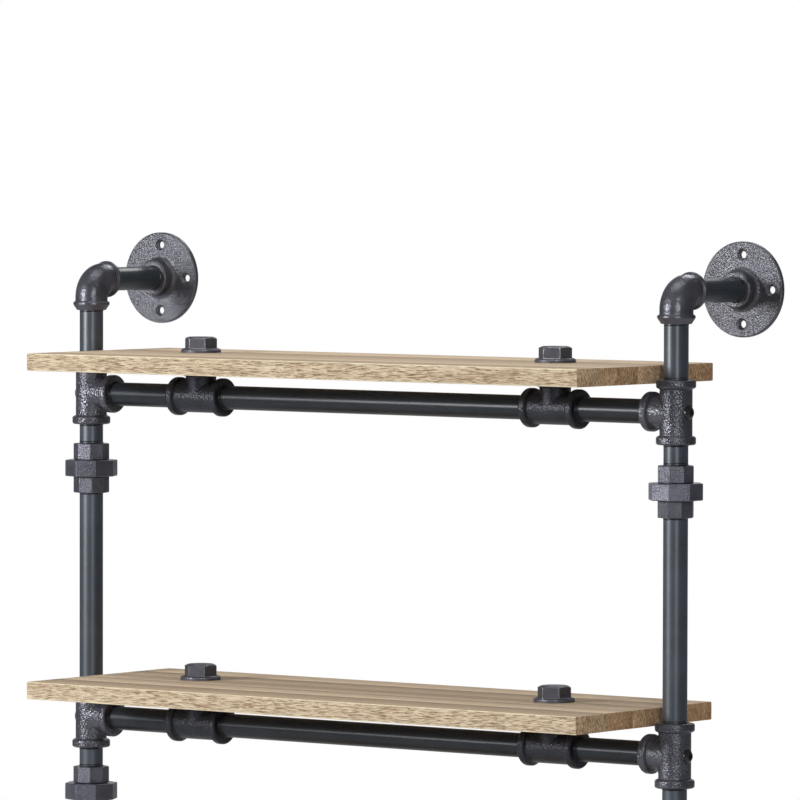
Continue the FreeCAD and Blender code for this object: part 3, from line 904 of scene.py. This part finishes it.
class SHELF_OT_threads(bpy.types.Operator):
    """Models one run of pipe thread and copies it to every fitting's mouth"""
    bl_idname = "shelf.threads"
    bl_label = "Pipe threads"

    def execute(self, context):
        settings = context.scene.shelf_threads
        finish = pipe_finish("thread_coating", context.scene.shelf_finishes, darker=0.22)
        pattern = self.model_thread(settings)
        pattern.data.materials.append(finish)
        for side in SIDES:
            self.copy_to("post_threads_" + side, pattern, self.post_mouths(side), settings)
            self.copy_to("arm_threads_" + side, pattern, self.arm_mouths(side), settings)
        for tier in TIERS:
            self.copy_to("cross_threads_" + tier, pattern, self.cross_mouths(tier), settings)
        bpy.data.objects.remove(pattern)
        return {"FINISHED"}

    def model_thread(self, settings):
        """One thread round +Z from the origin, fading into the pipe at its far end."""
        size = (settings.height + settings.sink) / (1.0 + math.cos(math.pi / PROFILE_CORNERS))
        crest = settings.pipe_width / 2 + settings.height
        deselect()
        bpy.ops.mesh.primitive_circle_add(
            vertices=PROFILE_CORNERS, radius=size, location=(crest - size, 0.0, 0.0),
            rotation=(math.pi / 2, math.pi / 2, 0.0))
        thread = bpy.context.object
        thread.name = "thread_pattern"
        settle()
        bpy.ops.object.mode_set(mode="EDIT")
        bpy.ops.mesh.select_all(action="SELECT")
        bpy.ops.transform.resize(value=(1.0, 1.0, settings.spread), center_override=(crest, 0.0, 0.0))
        bpy.ops.object.mode_set(mode="OBJECT")
        wind = thread.modifiers.new("wind", "SCREW")
        wind.axis = "Z"
        wind.screw_offset = settings.pitch
        wind.iterations = settings.turns
        wind.steps = THREAD_STEPS
        wind.render_steps = THREAD_STEPS
        bpy.ops.object.modifier_apply(modifier=wind.name)
        narrow = thread.modifiers.new("narrow", "SIMPLE_DEFORM")
        narrow.deform_method = "TAPER"
        narrow.deform_axis = "Z"
        narrow.factor = settings.fade
        bpy.ops.object.modifier_apply(modifier=narrow.name)
        bpy.ops.object.mode_set(mode="EDIT")
        bpy.ops.mesh.select_all(action="SELECT")
        bpy.ops.mesh.remove_doubles(threshold=PLACE_TOLERANCE)
        bpy.ops.mesh.fill_holes(sides=PROFILE_CORNERS)
        bpy.ops.mesh.select_all(action="SELECT")
        bpy.ops.mesh.normals_make_consistent(inside=False)
        bpy.ops.object.mode_set(mode="OBJECT")
        bpy.ops.object.shade_smooth_by_angle(angle=SMOOTH_ANGLE)
        return thread

    def mouth(self, fitting, axis_node, axis, sign):
        """Where a pipe enters a fitting, and the way the thread runs from there."""
        low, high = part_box(fitting)
        place = middle_of(axis_node)
        place[axis] = high[axis] if sign > 0 else low[axis]
        way = Vector((0.0, 0.0, 0.0))
        way[axis] = sign
        return place, way

    def post_mouths(self, side):
        post = "post_pipe_upper_" + side
        found = [self.mouth("elbow_top_" + side, post, Z, -1)]
        found.append(self.mouth("elbow_bottom_" + side, post, Z, 1))
        for tier in TIERS:
            tee = "post_tee_%s_%s" % (tier, side)
            found += [self.mouth(tee, post, Z, 1), self.mouth(tee, post, Z, -1)]
        for level in ("upper", "lower"):
            found.append(self.mouth("union_tail_%s_%s" % (level, side), post, Z, 1))
            found.append(self.mouth("union_body_%s_%s" % (level, side), post, Z, -1))
        return found

    def arm_mouths(self, side):
        found = []
        for end in ("top", "bottom"):
            flange = "wall_flange_%s_%s" % (end, side)
            found.append(self.mouth(flange, flange, Y, -1))
            found.append(self.mouth("elbow_%s_%s" % (end, side), flange, Y, 1))
        return found

    def cross_mouths(self, tier):
        pipe = "cross_pipe_%s_centre" % tier
        found = []
        for side, sign in zip(SIDES, (1, -1)):
            found.append(self.mouth("post_tee_%s_%s" % (tier, side), pipe, X, sign))
            tee = "cross_tee_%s_%s" % (tier, side)
            found += [self.mouth(tee, pipe, X, 1), self.mouth(tee, pipe, X, -1)]
        return found

    def copy_to(self, name, pattern, mouths, settings):
        """Copies the thread to each mouth and joins the copies into one piece."""
        copies = []
        for place, way in mouths:
            copy = pattern.copy()
            copy.data = pattern.data.copy()
            bpy.context.collection.objects.link(copy)
            turn = Vector((0.0, 0.0, 1.0)).rotation_difference(way).to_matrix().to_4x4()
            start = place - way * settings.hidden_turns * settings.pitch
            copy.matrix_world = Matrix.Translation(start) @ turn
            copies.append(copy)
        deselect()
        for copy in copies:
            copy.select_set(True)
        bpy.context.view_layer.objects.active = copies[0]
        settle()
        bpy.ops.object.join()
        piece = bpy.context.object
        piece.name = name
        piece.data.name = name
        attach(piece, BODY)


class SHELF_OT_pipes(bpy.types.Operator):
    """Coats the pipes and nipples; the cross pipes and the arms get a darker colour as painted shade"""
    bl_idname = "shelf.pipes"
    bl_label = "Pipes"

    def execute(self, context):
        settings = context.scene.shelf_finishes
        posts = pipe_finish("pipe_coating", settings)
        coat(posts, *nodes_like("post_pipe", "union_nipples"))
        # Painted shade: the cross pipes are the same pipe as the posts, given a darker colour for the shade
        # under the boards.
        cross = pipe_finish("cross_pipe_coating", settings, darker=0.32, lacquer=0.30, matt=0.9)
        coat(cross, *nodes_like("cross_pipe"))
        # Painted shade: the arms are the same pipe as the posts, given a darker colour.
        arms = pipe_finish("arm_coating", settings, darker=0.58, lacquer=0.35)
        coat(arms, *nodes_like("wall_nipples"))
        return {"FINISHED"}


class SHELF_OT_fittings(bpy.types.Operator):
    """Coats the tees, elbows, unions and wall flanges; the cross tees get a darker colour as painted shade"""
    bl_idname = "shelf.fittings"
    bl_label = "Cast fittings"

    def execute(self, context):
        settings = context.scene.shelf_finishes
        tees = cast_finish("tee_casting", settings, settings.cast)
        coat(tees, *nodes_like("post_tee"))
        # Painted shade: the cross tees sit under the boards, so their casting is given a darker colour.
        cross = cast_finish(
            "cross_tee_casting", settings, settings.cross_tee, depth=0.0004, gloss=0.26, shine=0.5)
        coat(cross, *nodes_like("cross_tee"))
        elbows = cast_finish(
            "elbow_casting", settings, settings.cast, dimple=0.0030, depth=0.00028, gloss=0.26)
        coat(elbows, *nodes_like("elbow"))
        unions = cast_finish(
            "union_casting", settings, settings.union, dimple=0.0010, depth=0.00028, gloss=0.26)
        coat(unions, *nodes_like("union_tail", "union_nut", "union_body"))
        flanges = cast_finish(
            "flange_casting", settings, settings.flange, dimple=0.0010, depth=0.00042, gloss=0.19)
        coat(flanges, *nodes_like("wall_flange"))
        return {"FINISHED"}


class SHELF_OT_plugs(bpy.types.Operator):
    """Finishes the plugs on the boards"""
    bl_idname = "shelf.plugs"
    bl_label = "Plugs"

    def execute(self, context):
        coat(plug_finish("plug_gunmetal", context.scene.shelf_finishes), "board_plugs")
        return {"FINISHED"}


class SHELF_OT_small_parts(bpy.types.Operator):
    """Finishes the tee screws and the union gaskets"""
    bl_idname = "shelf.small_parts"
    bl_label = "Screws and gaskets"

    def execute(self, context):
        settings = context.scene.shelf_finishes
        coat(screw_finish("screw_gloss", settings), "tee_screws")
        coat(gasket_finish("gasket_rubber", settings), "union_gaskets")
        for tier in TIERS:
            coat(bpy.data.materials["board_wood"], "board_" + tier)
        return {"FINISHED"}


class SHELF_OT_stage(bpy.types.Operator):
    """Sets up the floor, the light and the camera"""
    bl_idname = "shelf.stage"
    bl_label = "Stage"

    def execute(self, context):
        settings = context.scene.shelf_stage
        context.scene.view_settings.view_transform = "Standard"
        self.lay_floor(settings)
        white_world(settings)
        middle = (CAD_BOX[0] + CAD_BOX[1]) / 2
        for name in LAMPS:
            self.hang_lamp(settings, name, middle)
        self.set_camera(context, settings)
        return {"FINISHED"}

    def lay_floor(self, settings):
        deselect()
        bpy.ops.mesh.primitive_circle_add(
            vertices=FLOOR_SIDES, radius=settings.floor_width / 2, fill_type="NGON",
            location=(0.0, 0.0, CAD_BOX[0].z - settings.floor_drop))
        floor = bpy.context.object
        floor.name = "studio_floor"
        settle()
        floor.data.materials.append(floor_finish("floor_white", settings))

    def hang_lamp(self, settings, name, target):
        """Hangs a rectangular softbox that faces a point."""
        place = Vector(getattr(settings, name + "_place"))
        deselect()
        bpy.ops.object.light_add(type="AREA", location=place)
        lamp = bpy.context.object
        lamp.name = name + "_lamp"
        lamp.rotation_euler = (target - place).to_track_quat("-Z", "Y").to_euler()
        lamp.data.shape = "RECTANGLE"
        lamp.data.size, lamp.data.size_y = getattr(settings, name + "_size")
        lamp.data.energy = getattr(settings, name + "_power")

    def set_camera(self, context, settings):
        a, e, r = settings.azimuth, settings.pitch, settings.roll
        ahead = Vector((-math.sin(a) * math.cos(e), math.cos(a) * math.cos(e), -math.sin(e)))
        level = Vector((math.cos(a), math.sin(a), 0.0))
        above = level.cross(ahead)
        right = level * math.cos(r) + above * math.sin(r)
        up = above * math.cos(r) - level * math.sin(r)
        sideways = (settings.aim[0] - IMAGE_SIDE / 2) / settings.focal * settings.distance
        upwards = (IMAGE_SIDE / 2 - settings.aim[1]) / settings.focal * settings.distance
        aim = middle_of("cross_pipe_top_centre")
        place = aim - right * sideways - up * upwards - ahead * settings.distance
        deselect()
        bpy.ops.object.camera_add(location=place)
        camera = bpy.context.object
        camera.name = "photo_camera"
        turn = Matrix((right, up, -ahead)).transposed()
        camera.rotation_euler = turn.to_euler()
        camera.data.sensor_fit = "HORIZONTAL"
        camera.data.sensor_width = SENSOR_WIDTH
        camera.data.lens = settings.focal * SENSOR_WIDTH / IMAGE_SIDE
        context.scene.camera = camera


class SHELF_PT_sidebar(bpy.types.Panel):
    """Lists the shelf's settings and steps"""
    bl_idname = "SHELF_PT_sidebar"
    bl_label = "Pipe Shelving Unit"
    bl_space_type = "VIEW_3D"
    bl_region_type = "UI"
    bl_category = "Shelf"

    def draw(self, context):
        for group in GROUPS:
            settings = getattr(context.scene, group)
            box = self.layout.box()
            for name in settings.__annotations__:
                box.prop(settings, name)
        for step in STEPS:
            self.layout.operator(step.bl_idname)


GROUPS = {
    "shelf_boards": BoardSettings,
    "shelf_threads": ThreadSettings,
    "shelf_finishes": FinishSettings,
    "shelf_stage": StageSettings,
}
STEPS = (SHELF_OT_boards, SHELF_OT_threads, SHELF_OT_pipes, SHELF_OT_fittings, SHELF_OT_plugs,
         SHELF_OT_small_parts, SHELF_OT_stage)


def register():
    for kind in (*GROUPS.values(), *STEPS, SHELF_PT_sidebar):
        bpy.utils.register_class(kind)
    for name, kind in GROUPS.items():
        setattr(bpy.types.Scene, name, PointerProperty(type=kind))


def unregister():
    for name in GROUPS:
        delattr(bpy.types.Scene, name)
    for kind in reversed((*GROUPS.values(), *STEPS, SHELF_PT_sidebar)):
        bpy.utils.unregister_class(kind)


def main():
    register()
    bpy.ops.shelf.boards()
    bpy.ops.shelf.threads()
    bpy.ops.shelf.pipes()
    bpy.ops.shelf.fittings()
    bpy.ops.shelf.plugs()
    bpy.ops.shelf.small_parts()
    bpy.ops.shelf.stage()


if __name__ == "__main__":
    main()
